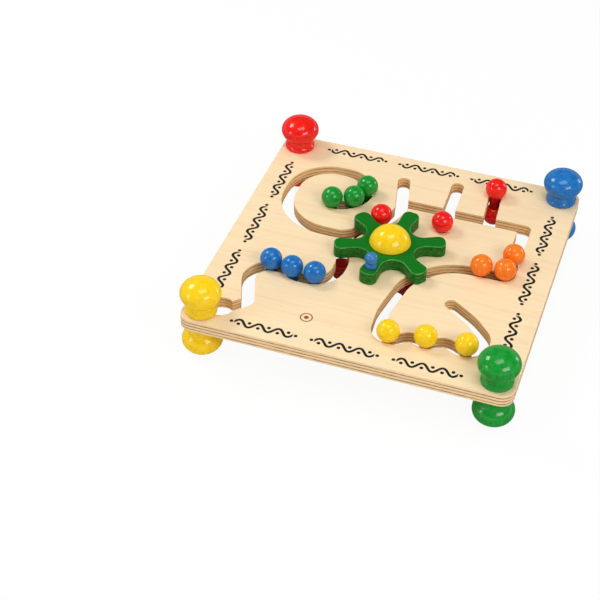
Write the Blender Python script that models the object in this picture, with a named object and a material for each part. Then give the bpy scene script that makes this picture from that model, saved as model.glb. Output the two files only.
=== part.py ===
"""Bead maze: a square plywood board on four turned feet, with winding slots cut through it.

Fifteen double-ended beads slide in the slots. A six-armed wheel in the middle, turned by a small
peg, carries beads round a curved slot, and an axle turns a second wheel with it under the board.

Metres, +Z up. The origin is under the middle of the board, on the surface that the feet stand on.
"""

import math

import bmesh
import bpy
from mathutils import Vector

MM = 0.001

# Board
BOARD_SIDE = 300 * MM
BOARD_THICKNESS = 12 * MM
BOARD_CORNER_RADIUS = 12 * MM
SLOT_WIDTH = 12 * MM
LOADING_HOLE_PLAY = 1.6 * MM
LOADING_HOLE_WALL = 1.9 * MM
LOADING_HOLE_ANGLE = 37.3

# Knobs on the board's corners, and the like feet under them
KNOB_INSET = 17 * MM
KNOB_RADIUS = 18.5 * MM
KNOB_HEAD_HALF_HEIGHT = 13 * MM
KNOB_HEIGHT = 33.2 * MM
KNOB_FLANGE_RADIUS = 14.3 * MM
KNOB_FLANGE_HEIGHT = 5.5 * MM
KNOB_FLANGE_ROUNDING = 1 * MM
KNOB_WAIST_RADIUS = 13.6 * MM
FOOT_FLAT_RADIUS = 6 * MM
TENON_RADIUS = 4 * MM
TENON_DEPTH = 14 * MM

# Wheels
WHEEL_RADIUS = 51.5 * MM
TOP_WHEEL_THICKNESS = 12 * MM
LOWER_WHEEL_THICKNESS = 13.5 * MM
WHEEL_ARMS = 6
ARM_TIP_WIDTH = 17.6 * MM
ARM_TIP_ROUNDING = 6.5 * MM
ARM_FLARE = 6.2
NOTCH_RADIUS = 11.9 * MM
WHEEL_EDGE_ROUNDING = 1.2 * MM

# The wheel's track is the curved part of a slot along which the wheel carries a bead. It bends more
# gently than the wheel's rim and comes nearest to the wheel's middle at one angle about it. Its ends
# are angles about the track's own centre. The red bead waits a little before its start.
TRACK_RADIUS = 81 * MM
TRACK_INSET = 9 * MM
TRACK_MIDDLE = 150.2
TRACK_START = 133
TRACK_END = 165.5
WAIT_BEFORE_TRACK = 1.9 * MM
NOTCH_BEFORE_BEAD = 5.5

# Axle and the cap over it
AXLE_RADIUS = 4 * MM
AXLE_HEAD_RADIUS = 8 * MM
AXLE_HEAD_HEIGHT = 5 * MM
AXLE_HEAD_ROUNDING = 3 * MM
DOME_RADIUS = 19.3 * MM
DOME_HEIGHT = 16.2 * MM
DOME_BORE_DEPTH = 8 * MM

# Crank peg
CRANK_ARM = 4
CRANK_INSET = 11.5 * MM
CRANK_BALL_RADIUS = 6 * MM
CRANK_HEIGHT = 15 * MM
CRANK_FLANGE_RADIUS = 5.6 * MM
CRANK_FLANGE_HEIGHT = 3 * MM
CRANK_FLANGE_CHAMFER = 0.8 * MM
CRANK_WAIST_RADIUS = 3.8 * MM
CRANK_TENON_RADIUS = 3 * MM
CRANK_TENON_DEPTH = 8 * MM

# Beads
BEAD_RADIUS = 10.2 * MM
BEAD_SEAT_GAP = 0.6 * MM
BEAD_PLAY = 1.6 * MM
ROW_GAP = 0.7 * MM
LOOSE_ROW_GAP = 1.4 * MM
STEM_RADIUS = 3.5 * MM
STEM_BORE_DEPTH = 8 * MM

# Clearances
GAP = 0.3 * MM
ARM_CLEARANCE = 0.3 * MM

# Facets
CHORD_ERROR = 0.15 * MM
KNOB_SIDES = 16
KNOB_RINGS = 7
DOME_RINGS = 6
CRANK_RINGS = 6
BALL_SIDES = 14
BALL_RINGS = 6
PIN_SIDES = 12
HOLE_SIDES = 20

# Paint and timber: colour, roughness
FINISHES = {
    "birch": ((0.93, 0.73, 0.46), 0.55),
    "red": ((0.80, 0.02, 0.02), 0.25),
    "dark_red": ((0.33, 0.01, 0.01), 0.35),
    "blue": ((0.02, 0.12, 0.46), 0.25),
    "yellow": ((0.94, 0.62, 0.01), 0.25),
    "green": ((0.01, 0.22, 0.03), 0.25),
    "orange": ((0.93, 0.19, 0.01), 0.25),
    "bare_beech": ((0.78, 0.55, 0.32), 0.6),
}

# Heights
FEET_TOP = KNOB_HEIGHT
BOARD_TOP = FEET_TOP + BOARD_THICKNESS
BALL_ABOVE_EDGE = math.sqrt(BEAD_RADIUS**2 - (SLOT_WIDTH / 2) ** 2)
TOP_BALL_Z = BOARD_TOP + BALL_ABOVE_EDGE + BEAD_SEAT_GAP
BOTTOM_BALL_Z = FEET_TOP - BALL_ABOVE_EDGE - BEAD_PLAY

# Plan sizes that follow from the ones above
KNOB_CENTRE = BOARD_SIDE / 2 - KNOB_INSET
CRANK_DISTANCE = WHEEL_RADIUS - CRANK_INSET
CLEAR_OF_WHEEL = WHEEL_RADIUS + BEAD_RADIUS + ARM_CLEARANCE
ARM_STEP = 360 / WHEEL_ARMS


def on_board(x, y, radius=0.0):
    """A corner of a slot's middle line, given on a board of 300 units a side, with its rounding."""
    unit = BOARD_SIDE / 300
    return Vector((x * unit, y * unit)), radius * unit


def polar(radius, degrees, centre=(0.0, 0.0)):
    angle = math.radians(degrees)
    return Vector((centre[0] + radius * math.cos(angle), centre[1] + radius * math.sin(angle)))


TRACK_CENTRE = polar(WHEEL_RADIUS - TRACK_INSET - TRACK_RADIUS, TRACK_MIDDLE)


def on_track(degrees):
    """A point on the wheel's track, at an angle about the track's centre."""
    return polar(TRACK_RADIUS, degrees, TRACK_CENTRE)


def track_tangent(degrees, length):
    """A point on the line that touches the wheel's track at an angle, a length back from it."""
    return on_track(degrees) + polar(length, degrees - 90)


def track_corner(start, end):
    """The corner whose rounding runs on the wheel's track from one angle to the other."""
    half = math.radians(abs(end - start) / 2)
    return track_tangent(start, -TRACK_RADIUS * math.tan(half)), TRACK_RADIUS


# The wheel stands so that the waiting bead lies in the notch after its second arm
WAITING_BEAD = track_tangent(TRACK_START, WAIT_BEFORE_TRACK)
WAITING_BEAD_ANGLE = math.degrees(math.atan2(WAITING_BEAD.y, WAITING_BEAD.x))
FIRST_ARM = WAITING_BEAD_ANGLE - NOTCH_BEFORE_BEAD - 1.5 * ARM_STEP


# Middle lines of the slots: corners in the order of travel, each with the radius of its rounding
SLOTS = {
    "wheel_slot": [
        on_board(-17.5, 111),
        on_board(-8.0, 67, 18),
        (track_tangent(TRACK_START, 8 * MM), 10 * MM),
        track_corner(TRACK_START, TRACK_END),
        (track_tangent(TRACK_END, -5 * MM), 12 * MM),
        on_board(-36.6, -26, 20),
        on_board(-36.4, -61.5, 24),
        on_board(-70, -61.5, 16),
        on_board(-81, -55.3, 12),
        on_board(-88, -54.6, 30),
        on_board(-117.2, -56.2, 18),
        on_board(-98.9, -107.6, 3),
        on_board(-113, -122.8),
    ],
    "spiral_slot": [
        on_board(-73.1, 51.7),
        on_board(-45.9, 51.7, 27.2),
        on_board(-45.9, 106.1, 27.2),
        on_board(-117.3, 106.8, 37.4),
        on_board(-117.3, 12, 48),
        on_board(-49.5, 10.9, 20),
        (on_track(152), 0.0),
    ],
    "bar_slot": [
        on_board(-7, 76.7),
        on_board(110, 76.7),
        on_board(111, 1.3, 5),
        on_board(84, 0.2, 60),
        on_board(53.5, -0.6, 50),
        on_board(25.4, -34.8, 40),
        on_board(18, -80, 60),
        on_board(21.2, -113.2, 12),
        on_board(37.5, -113.2, 8),
        on_board(50, -103.2, 8),
        on_board(64.7, -110.6, 12),
        on_board(79.4, -99.8, 9),
        on_board(93.5, -107.2, 8),
        on_board(110.6, -107.0, 14),
        on_board(110.6, -83.5, 16),
        on_board(93, -65, 60),
        on_board(72.3, -51),
    ],
    "middle_red_slot": [
        on_board(34, 120.7),
        (polar(CLEAR_OF_WHEEL, 54), 0.0),
    ],
    "right_red_slot": [
        on_board(72, 120.7),
        on_board(75.3, 79),
    ],
}


# The round hole at the end of the wheel's slot, through which the beads are put in before the knob
# and foot of that corner are fitted. Their flanges then cover enough of it to keep the beads in.
LOADING_HOLE_RADIUS = BEAD_RADIUS + LOADING_HOLE_PLAY
LOADING_HOLE_CENTRE = polar(
    LOADING_HOLE_RADIUS + LOADING_HOLE_WALL + TENON_RADIUS + GAP,
    LOADING_HOLE_ANGLE,
    (-KNOB_CENTRE, -KNOB_CENTRE),
)


def remove_everything():
    for item in list(bpy.data.objects):
        bpy.data.objects.remove(item, do_unlink=True)


def make_finish(name):
    colour, roughness = FINISHES[name]
    material = bpy.data.materials.new(name)
    material.use_nodes = True
    shader = material.node_tree.nodes["Principled BSDF"]
    shader.inputs["Base Color"].default_value = (*colour, 1.0)
    shader.inputs["Roughness"].default_value = roughness
    shader.inputs["Metallic"].default_value = 0.0
    material.diffuse_color = (*colour, 1.0)
    return material


def make_object(name, form, finish, parent=None, location=(0, 0, 0), smooth=True):
    """Turn a bmesh into a named object with its material, on the scene's collection."""
    mesh = bpy.data.meshes.new(name)
    bmesh.ops.recalc_face_normals(form, faces=form.faces)
    form.to_mesh(mesh)
    form.free()
    if smooth:
        mesh.shade_smooth()
        mesh.set_sharp_from_angle(angle=math.radians(40))
    item = bpy.data.objects.new(name, mesh)
    bpy.context.scene.collection.objects.link(item)
    item.location = location
    item.parent = parent
    if finish:
        mesh.materials.append(finish)
    return item


def make_pivot(name, location):
    """An empty on a joint's axis, which the moving pieces hang from."""
    pivot = bpy.data.objects.new(name, None)
    pivot.empty_display_size = 10 * MM
    pivot.location = location
    bpy.context.scene.collection.objects.link(pivot)
    return pivot


def direction(start, end):
    return (end - start).normalized()


def left_of(heading):
    return Vector((-heading.y, heading.x))


def cross(a, b):
    return a.x * b.y - a.y * b.x


def arc_steps(radius, sweep):
    """How many chords an arc needs to stay within the chord error."""
    if radius <= 2 * CHORD_ERROR:
        return 1
    step = 2 * math.acos(1 - CHORD_ERROR / radius)
    return max(1, math.ceil(abs(sweep) / step))


def arc_points(centre, radius, start, sweep):
    """Points along an arc, both ends included. Angles in radians."""
    count = arc_steps(radius, sweep)
    angles = [start + sweep * i / count for i in range(count + 1)]
    return [centre + radius * Vector((math.cos(angle), math.sin(angle))) for angle in angles]


def corner_arc(before, corner, after, radius):
    """Centre, start angle and sweep of the arc that rounds a corner."""
    arriving, leaving = direction(before, corner), direction(corner, after)
    turn = math.atan2(cross(arriving, leaving), arriving.dot(leaving))
    side = 1 if turn > 0 else -1
    start = corner - arriving * radius * math.tan(abs(turn) / 2)
    centre = start + left_of(arriving) * side * radius
    spoke = start - centre
    return centre, math.atan2(spoke.y, spoke.x), turn


def rounded(before, corner, after, radius):
    """The points that replace a corner once it is rounded."""
    if radius <= 0:
        return [corner]
    centre, start, turn = corner_arc(before, corner, after, radius)
    return arc_points(centre, radius, start, turn)


def slot_edge(route, offset):
    """One edge of a slot: its middle line moved to the left by an offset, with its own roundings."""
    points = [point for point, _ in route]
    headings = [direction(a, b) for a, b in zip(points, points[1:])]
    moved = [points[0] + left_of(headings[0]) * offset]
    for corner, arriving, leaving in zip(points[1:-1], headings, headings[1:]):
        sideways = left_of(arriving) + left_of(leaving)
        reach = offset / (1 + left_of(arriving).dot(left_of(leaving)))
        moved.append(corner + sideways * reach)
    moved.append(points[-1] + left_of(headings[-1]) * offset)

    edge = [moved[0]]
    for i in range(1, len(moved) - 1):
        turning_left = cross(headings[i - 1], headings[i]) > 0
        radius = route[i][1] - offset if turning_left else route[i][1] + offset
        edge.extend(rounded(moved[i - 1], moved[i], moved[i + 1], radius))
    edge.append(moved[-1])
    return edge


def slot_outline(route):
    """The closed outline that a round cutter of the slot's width leaves along a route."""
    half = SLOT_WIDTH / 2
    first, second = route[0][0], route[1][0]
    last, before_last = route[-1][0], route[-2][0]
    start_heading = direction(first, second)
    end_heading = direction(before_last, last)
    right, left = slot_edge(route, -half), slot_edge(route, half)
    end_angle = math.atan2(end_heading.y, end_heading.x) - math.pi / 2
    start_angle = math.atan2(start_heading.y, start_heading.x) + math.pi / 2
    end_cap = arc_points(last, half, end_angle, math.pi)[1:-1]
    start_cap = arc_points(first, half, start_angle, math.pi)[1:-1]
    return right + end_cap + left[::-1] + start_cap


def closed_outline(corners):
    """A closed outline from corners with roundings."""
    count = len(corners)
    outline = []
    for i, (corner, radius) in enumerate(corners):
        before, after = corners[i - 1][0], corners[(i + 1) % count][0]
        outline.extend(rounded(before, corner, after, radius))
    return outline


def extruded(outline, bottom, top):
    """A flat outline drawn up into a plate between two heights."""
    form = bmesh.new()
    corners = [form.verts.new((point.x, point.y, bottom)) for point in outline]
    face = form.faces.new(corners)
    lifted = bmesh.ops.extrude_face_region(form, geom=[face])["geom"]
    raised = [part for part in lifted if isinstance(part, bmesh.types.BMVert)]
    bmesh.ops.translate(form, verts=raised, vec=(0, 0, top - bottom))
    bmesh.ops.remove_doubles(form, verts=form.verts, dist=0.01 * MM)
    return form


def turned(profile, sides):
    """A profile of (radius, height) points, from axis to axis, spun round the Z axis as on a lathe."""
    form = bmesh.new()
    points = [form.verts.new((radius, 0, height)) for radius, height in profile]
    edges = [form.edges.new(pair) for pair in zip(points, points[1:])]
    bmesh.ops.spin(
        form,
        geom=points + edges,
        cent=(0, 0, 0),
        axis=(0, 0, 1),
        angle=2 * math.pi,
        steps=sides,
        use_merge=True,
    )
    bmesh.ops.remove_doubles(form, verts=form.verts, dist=0.01 * MM)
    return form


def cut(item, form, name):
    """Take a form away from an object with an exact Boolean."""
    cutter = make_object(name, form, None, smooth=False)
    cutter.hide_render = True
    cutter.display_type = "WIRE"
    boolean = item.modifiers.new(name, "BOOLEAN")
    boolean.operation = "DIFFERENCE"
    boolean.solver = "EXACT"
    boolean.object = cutter


def drill(item, name, centre, radius, bottom, top, sides=PIN_SIDES):
    """Bore a round hole between two heights."""
    hole = turned([(0, 0), (radius, 0), (radius, top - bottom), (0, top - bottom)], sides)
    bmesh.ops.translate(hole, verts=hole.verts, vec=(centre[0], centre[1], bottom))
    cut(item, hole, name)


def corner_centres():
    """The four corner knobs' places and colours."""
    reach = KNOB_CENTRE
    return {
        "red": (-reach, reach),
        "blue": (reach, reach),
        "yellow": (-reach, -reach),
        "green": (reach, -reach),
    }


def build_board(finish):
    """The board, with its slots, the holes for the feet's tenons and the hole for the axle."""
    half = BOARD_SIDE / 2
    signs = ((-1, -1), (1, -1), (1, 1), (-1, 1))
    corners = [(Vector((sx * half, sy * half)), BOARD_CORNER_RADIUS) for sx, sy in signs]
    board = make_object("maze_board", extruded(closed_outline(corners), FEET_TOP, BOARD_TOP), finish)
    below, above = FEET_TOP - MM, BOARD_TOP + MM
    for name, route in SLOTS.items():
        cut(board, extruded(slot_outline(route), below, above), name + "_cutter")
    for colour, centre in corner_centres().items():
        drill(board, f"{colour}_tenon_hole_cutter", centre, TENON_RADIUS + GAP, below, above)
    drill(board, "axle_hole_cutter", (0, 0), AXLE_RADIUS + GAP, below, above)
    loading_hole = (LOADING_HOLE_CENTRE, LOADING_HOLE_RADIUS)
    drill(board, "loading_hole_cutter", *loading_hole, below, above, HOLE_SIDES)
    return board


def knob_side_profile(end_radius):
    """A knob's outside, from its flange on the board to its head, as heights above the board."""
    edge = KNOB_FLANGE_ROUNDING
    flange_top = KNOB_FLANGE_HEIGHT
    centre = KNOB_HEIGHT - KNOB_HEAD_HALF_HEIGHT
    profile = [
        (KNOB_FLANGE_RADIUS - edge, GAP),
        (KNOB_FLANGE_RADIUS, GAP + edge),
        (KNOB_FLANGE_RADIUS, flange_top - edge),
        (KNOB_FLANGE_RADIUS - edge, flange_top),
    ]
    start = -math.acos(KNOB_WAIST_RADIUS / KNOB_RADIUS)
    end = math.acos(end_radius / KNOB_RADIUS)
    for i in range(KNOB_RINGS + 1):
        angle = start + (end - start) * i / KNOB_RINGS
        height = centre + KNOB_HEAD_HALF_HEIGHT * math.sin(angle)
        profile.append((KNOB_RADIUS * math.cos(angle), height))
    return profile


def build_knob(colour, centre, finish):
    """A knob on top of the board, with the blind hole that takes the foot's tenon."""
    bore = TENON_RADIUS + GAP
    profile = [(0, TENON_DEPTH), (bore, TENON_DEPTH), (bore, GAP)] + knob_side_profile(0)
    profile[-1] = (0, KNOB_HEIGHT)
    return make_object(
        f"knob_{colour}", turned(profile, KNOB_SIDES), finish, location=(*centre, BOARD_TOP)
    )


def build_foot(colour, centre, finish):
    """A foot: the same knob upside down, cut flat where it stands, turned in one with its tenon."""
    side = [(radius, -height) for radius, height in knob_side_profile(FOOT_FLAT_RADIUS)]
    flat = -KNOB_HEIGHT
    side[-1] = (FOOT_FLAT_RADIUS, flat)
    tenon_top = BOARD_THICKNESS + TENON_DEPTH - GAP
    profile = [(0, tenon_top), (TENON_RADIUS, tenon_top), (TENON_RADIUS, -GAP)] + side + [(0, flat)]
    return make_object(
        f"foot_{colour}", turned(profile, KNOB_SIDES), finish, location=(*centre, FEET_TOP)
    )


def wheel_outline():
    """The outline of the wheel: flared arms with round tips, and a round notch between each pair."""
    half_step = math.radians(ARM_STEP / 2)
    flare = math.radians(ARM_FLARE)
    inner_half_width = ARM_TIP_WIDTH / 2 - WHEEL_RADIUS * math.tan(flare)
    along = inner_half_width / (math.tan(half_step) - math.tan(flare))
    notch_corner = along / math.cos(half_step)
    tip_reach = math.hypot(WHEEL_RADIUS, ARM_TIP_WIDTH / 2)
    tip_spread = math.degrees(math.atan2(ARM_TIP_WIDTH / 2, WHEEL_RADIUS))
    corners = []
    for arm in range(WHEEL_ARMS):
        angle = FIRST_ARM + ARM_STEP * arm
        corners.append((polar(tip_reach, angle - tip_spread), ARM_TIP_ROUNDING))
        corners.append((polar(tip_reach, angle + tip_spread), ARM_TIP_ROUNDING))
        corners.append((polar(notch_corner, angle + ARM_STEP / 2), NOTCH_RADIUS))
    return closed_outline(corners)


def build_wheel(name, bottom, top, finish, pivot, rounding_steps):
    """One wheel, with its middle hole and softly rounded edges."""
    form = extruded(wheel_outline(), bottom, top)
    wheel = make_object(name, form, finish, parent=pivot)
    bevel = wheel.modifiers.new("rounded_edges", "BEVEL")
    bevel.width = WHEEL_EDGE_ROUNDING
    bevel.segments = rounding_steps
    bevel.limit_method = "ANGLE"
    bevel.angle_limit = math.radians(60)
    hole_radius = AXLE_RADIUS + GAP
    drill(wheel, name + "_hole_cutter", (0, 0), hole_radius, bottom - MM, top + MM)
    return wheel


def dome_profile(bore_radius, bore_depth):
    """A low dome: a slice of a ball, with a blind hole up its middle."""
    ball = (DOME_RADIUS**2 + DOME_HEIGHT**2) / (2 * DOME_HEIGHT)
    rise = math.asin((ball - DOME_HEIGHT) / ball)
    profile = [(0, bore_depth), (bore_radius, bore_depth), (bore_radius, 0), (DOME_RADIUS, 0)]
    for i in range(1, DOME_RINGS):
        angle = rise + (math.pi / 2 - rise) * i / DOME_RINGS
        profile.append((ball * math.cos(angle), ball * math.sin(angle) - ball + DOME_HEIGHT))
    return profile + [(0, DOME_HEIGHT)]


def crank_profile():
    """The crank peg: a ball cut off at its waist, on a flange, with a tenon below."""
    ball_centre = CRANK_HEIGHT - CRANK_BALL_RADIUS
    start = -math.acos(CRANK_WAIST_RADIUS / CRANK_BALL_RADIUS)
    profile = [
        (0, -CRANK_TENON_DEPTH + GAP),
        (CRANK_TENON_RADIUS, -CRANK_TENON_DEPTH + GAP),
        (CRANK_TENON_RADIUS, GAP),
        (CRANK_FLANGE_RADIUS, GAP),
        (CRANK_FLANGE_RADIUS, CRANK_FLANGE_HEIGHT - CRANK_FLANGE_CHAMFER),
        (CRANK_FLANGE_RADIUS - CRANK_FLANGE_CHAMFER, CRANK_FLANGE_HEIGHT),
    ]
    for i in range(CRANK_RINGS):
        angle = start + (math.pi / 2 - start) * i / CRANK_RINGS
        height = ball_centre + CRANK_BALL_RADIUS * math.sin(angle)
        profile.append((CRANK_BALL_RADIUS * math.cos(angle), height))
    return profile + [(0, CRANK_HEIGHT)]


def build_wheels(finish):
    """Everything that turns on the board's middle: two wheels on one axle, the dome and the peg."""
    pivot = make_pivot("wheel_pivot", (0, 0, 0))
    top_bottom = BOARD_TOP + GAP
    top_face = top_bottom + TOP_WHEEL_THICKNESS
    top = build_wheel("wheel_top", top_bottom, top_face, finish["green"], pivot, 2)
    low_top = FEET_TOP - GAP
    low_bottom = low_top - LOWER_WHEEL_THICKNESS
    build_wheel("wheel_bottom", low_bottom, low_top, finish["dark_red"], pivot, 1)

    head = low_bottom - GAP
    head_end = head - AXLE_HEAD_HEIGHT
    shaft_top = top_face + DOME_BORE_DEPTH
    axle = [
        (0, head_end),
        (AXLE_HEAD_RADIUS - AXLE_HEAD_ROUNDING, head_end),
        (AXLE_HEAD_RADIUS, head_end + AXLE_HEAD_ROUNDING),
        (AXLE_HEAD_RADIUS, head),
        (AXLE_RADIUS, head),
        (AXLE_RADIUS, shaft_top),
        (0, shaft_top),
    ]
    make_object("axle_peg", turned(axle, PIN_SIDES), finish["bare_beech"], parent=pivot)
    dome = turned(dome_profile(AXLE_RADIUS + GAP, DOME_BORE_DEPTH), KNOB_SIDES)
    make_object("hub_dome", dome, finish["yellow"], parent=pivot, location=(0, 0, top_face + GAP))

    spot = polar(CRANK_DISTANCE, FIRST_ARM + ARM_STEP * CRANK_ARM)
    depth = top_face - CRANK_TENON_DEPTH
    drill(top, "crank_hole_cutter", spot, CRANK_TENON_RADIUS + GAP, depth, top_face + MM)
    crank = turned(crank_profile(), PIN_SIDES)
    make_object("crank_peg", crank, finish["blue"], parent=pivot, location=(*spot, top_face))


def ball_profile():
    """Half a ball's outline, with the blind hole for the stem at its foot. Its middle is at zero."""
    bore = STEM_RADIUS + GAP
    mouth = -math.sqrt(BEAD_RADIUS**2 - bore**2)
    roof = mouth + STEM_BORE_DEPTH
    start = math.asin(mouth / BEAD_RADIUS)
    profile = [(0, roof), (bore, roof)]
    for i in range(BALL_RINGS):
        angle = start + (math.pi / 2 - start) * i / BALL_RINGS
        profile.append((BEAD_RADIUS * math.cos(angle), BEAD_RADIUS * math.sin(angle)))
    return profile + [(0, BEAD_RADIUS)], roof


def build_bead(name, spot, axis_spot, finish):
    """One bead: a ball above the board, one below it and the pin through the slot that joins them."""
    pivot = make_pivot(name + "_pivot", (*axis_spot, BOARD_TOP))
    place = spot - axis_spot
    profile, roof = ball_profile()
    top, bottom = TOP_BALL_Z - BOARD_TOP, BOTTOM_BALL_Z - BOARD_TOP
    upside_down = [(radius, -height) for radius, height in profile]
    upper = turned(profile, BALL_SIDES)
    lower = turned(upside_down, BALL_SIDES)
    make_object(name + "_top_ball", upper, finish, parent=pivot, location=(*place, top))
    make_object(name + "_bottom_ball", lower, finish, parent=pivot, location=(*place, bottom))
    foot, head = bottom - roof + GAP, top + roof - GAP
    stem = turned([(0, foot), (STEM_RADIUS, foot), (STEM_RADIUS, head), (0, head)], PIN_SIDES)
    make_object(name + "_stem", stem, finish, parent=pivot, location=(*place, 0))


def slot_arc(slot, corner):
    """Centre and radius of the arc at a numbered corner of a slot's middle line."""
    route = SLOTS[slot]
    radius = route[corner][1]
    centre, _, _ = corner_arc(route[corner - 1][0], route[corner][0], route[corner + 1][0], radius)
    return centre, radius


def on_arc(slot, corner, degrees):
    """A bead's place on a slot's arc, and the arc's centre, about which it turns."""
    centre, radius = slot_arc(slot, corner)
    return polar(radius, degrees, centre), centre


def on_line(slot, corner, distance):
    """A bead's place on a straight stretch, a distance on from a corner of the slot's middle line."""
    route = SLOTS[slot]
    start, end = route[corner][0], route[corner + 1][0]
    spot = start + direction(start, end) * distance
    return spot, spot


def at_end(slot):
    """A bead's place at the far end of a slot."""
    spot = SLOTS[slot][-1][0]
    return spot, spot


def next_on_arc(slot, corner, neighbour, gap, side):
    """A bead's place on a slot's arc, with a gap to its neighbour. Side 1 is anticlockwise of it."""
    centre, radius = slot_arc(slot, corner)
    spoke = neighbour - centre
    pitch = 2 * BEAD_RADIUS + gap
    turn = math.acos((radius**2 + spoke.length_squared - pitch**2) / (2 * radius * spoke.length))
    return on_arc(slot, corner, math.degrees(math.atan2(spoke.y, spoke.x) + side * turn))


def next_on_line(slot, corner, neighbour, gap, side):
    """A bead's place on a straight stretch, with a gap to its neighbour. Side 1 is further on."""
    start, end = SLOTS[slot][corner][0], SLOTS[slot][corner + 1][0]
    heading = direction(start, end)
    along = (neighbour - start).dot(heading)
    aside = cross(heading, neighbour - start)
    pitch = 2 * BEAD_RADIUS + gap
    return on_line(slot, corner, along + side * math.sqrt(pitch**2 - aside**2))


def bead_seats():
    """Each bead's place and its joint's axis, colour by colour."""
    seats = {
        "red_1": (WAITING_BEAD, TRACK_CENTRE),
        "red_2": at_end("middle_red_slot"),
        "red_3": on_line("right_red_slot", 0, 3 * MM),
        "green_1": on_arc("spiral_slot", 1, -89),
        "orange_2": on_arc("bar_slot", 2, -66),
        "yellow_1": on_arc("bar_slot", 7, -92),
        "yellow_2": on_arc("bar_slot", 10, -88),
        "yellow_3": on_arc("bar_slot", 13, -77),
        "blue_2": on_line("wheel_slot", 7, 5 * MM),
    }
    seats["green_2"] = next_on_arc("spiral_slot", 1, seats["green_1"][0], ROW_GAP, 1)
    seats["green_3"] = next_on_arc("spiral_slot", 1, seats["green_2"][0], ROW_GAP, 1)
    seats["orange_1"] = next_on_line("bar_slot", 2, seats["orange_2"][0], LOOSE_ROW_GAP, 1)
    seats["orange_3"] = next_on_line("bar_slot", 1, seats["orange_2"][0], 3 * MM, -1)
    seats["blue_1"] = next_on_arc("wheel_slot", 10, seats["blue_2"][0], LOOSE_ROW_GAP, 1)
    seats["blue_3"] = next_on_arc("wheel_slot", 6, seats["blue_2"][0], LOOSE_ROW_GAP, 1)
    return seats


def build_beads(finish):
    for name, (spot, axis_spot) in bead_seats().items():
        colour = name.split("_")[0]
        build_bead(f"bead_{name}", spot, axis_spot, finish[colour])


def main():
    remove_everything()
    finish = {name: make_finish(name) for name in FINISHES}
    build_board(finish["birch"])
    for colour, centre in corner_centres().items():
        build_knob(colour, centre, finish[colour])
        build_foot(colour, centre, finish[colour])
    build_wheels(finish)
    build_beads(finish)


main()
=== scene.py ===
"""The looks of the bead maze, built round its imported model. Metres, +Z up, the row's own frame."""

import math

import bmesh
import bpy
from mathutils import Matrix, Vector


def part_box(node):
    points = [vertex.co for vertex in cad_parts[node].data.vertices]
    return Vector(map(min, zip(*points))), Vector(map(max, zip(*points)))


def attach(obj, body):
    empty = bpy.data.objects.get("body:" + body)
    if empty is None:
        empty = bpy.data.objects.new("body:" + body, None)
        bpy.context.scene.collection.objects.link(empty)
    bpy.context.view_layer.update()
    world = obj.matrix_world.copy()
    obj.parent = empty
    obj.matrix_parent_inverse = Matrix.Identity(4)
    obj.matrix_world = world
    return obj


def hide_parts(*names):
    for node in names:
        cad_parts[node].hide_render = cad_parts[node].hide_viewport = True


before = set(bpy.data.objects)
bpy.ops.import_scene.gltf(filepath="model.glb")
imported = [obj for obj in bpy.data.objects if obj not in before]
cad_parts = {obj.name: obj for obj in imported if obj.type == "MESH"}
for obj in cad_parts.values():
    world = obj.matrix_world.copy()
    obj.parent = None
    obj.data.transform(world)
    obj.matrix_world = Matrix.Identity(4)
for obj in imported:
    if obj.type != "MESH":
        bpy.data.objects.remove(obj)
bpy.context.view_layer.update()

MM = 0.001

# Camera, as the photograph was taken: degrees, and metres from the middle of the board's top
CAMERA_AZIMUTH = 18.47
CAMERA_ELEVATION = 40.95
CAMERA_ROLL = 0.86
CAMERA_DISTANCE = 1.3612
CAMERA_RIGHT = -0.0824
CAMERA_UP = -0.0437
CAMERA_LENS = 88.6
SENSOR_WIDTH = 36

# Board, its angles in degrees
BOARD_SIDE = 300 * MM
BOARD_BOTTOM = 33.2 * MM
BOARD_TOP = 45.2 * MM
EDGE_ROUNDING = 0.5 * MM
EDGE_STEPS = 3
EDGE_ANGLE = 50
SHORTEST_EDGE = 0.12 * MM
SAME_POINT = 0.001 * MM
FLAT_ANGLE = 0.5
RIM_BAND = 4 * MM
FACING_UP = 0.9
STANDING_UPRIGHT = 0.5
PLY_LIGHT_THICKNESS = 2.1 * MM
PLY_DARK_THICKNESS = 1.2 * MM
PLY_WOBBLE = 0.5 * MM
PLY_SOFTNESS = 0.18 * MM
PLY_LAST_STEP = 0.05 * MM

# Print on the board's border, and the small stamp
PRINT_PITCH = 73.5 * MM
PRINT_LENGTH = 54 * MM
PRINT_WAVE = PRINT_LENGTH / 3
PRINT_DISTANCE_ACROSS = 131 * MM
PRINT_DISTANCE_ALONG = 137 * MM
PRINT_HEIGHT = 3.6 * MM
PRINT_STROKE = 1.2 * MM
PRINT_DOT = 1.6 * MM
PRINT_DOT_DROP = 1.9 * MM
PRINT_END_GAP = 2.6 * MM
PRINT_SOFTNESS = 0.12 * MM
STAMP_CENTRE = (-43 * MM, -111 * MM)
STAMP_RADIUS = 5.2 * MM
STAMP_STROKE = 0.5 * MM
STAMP_DOT = 2.1 * MM

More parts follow.
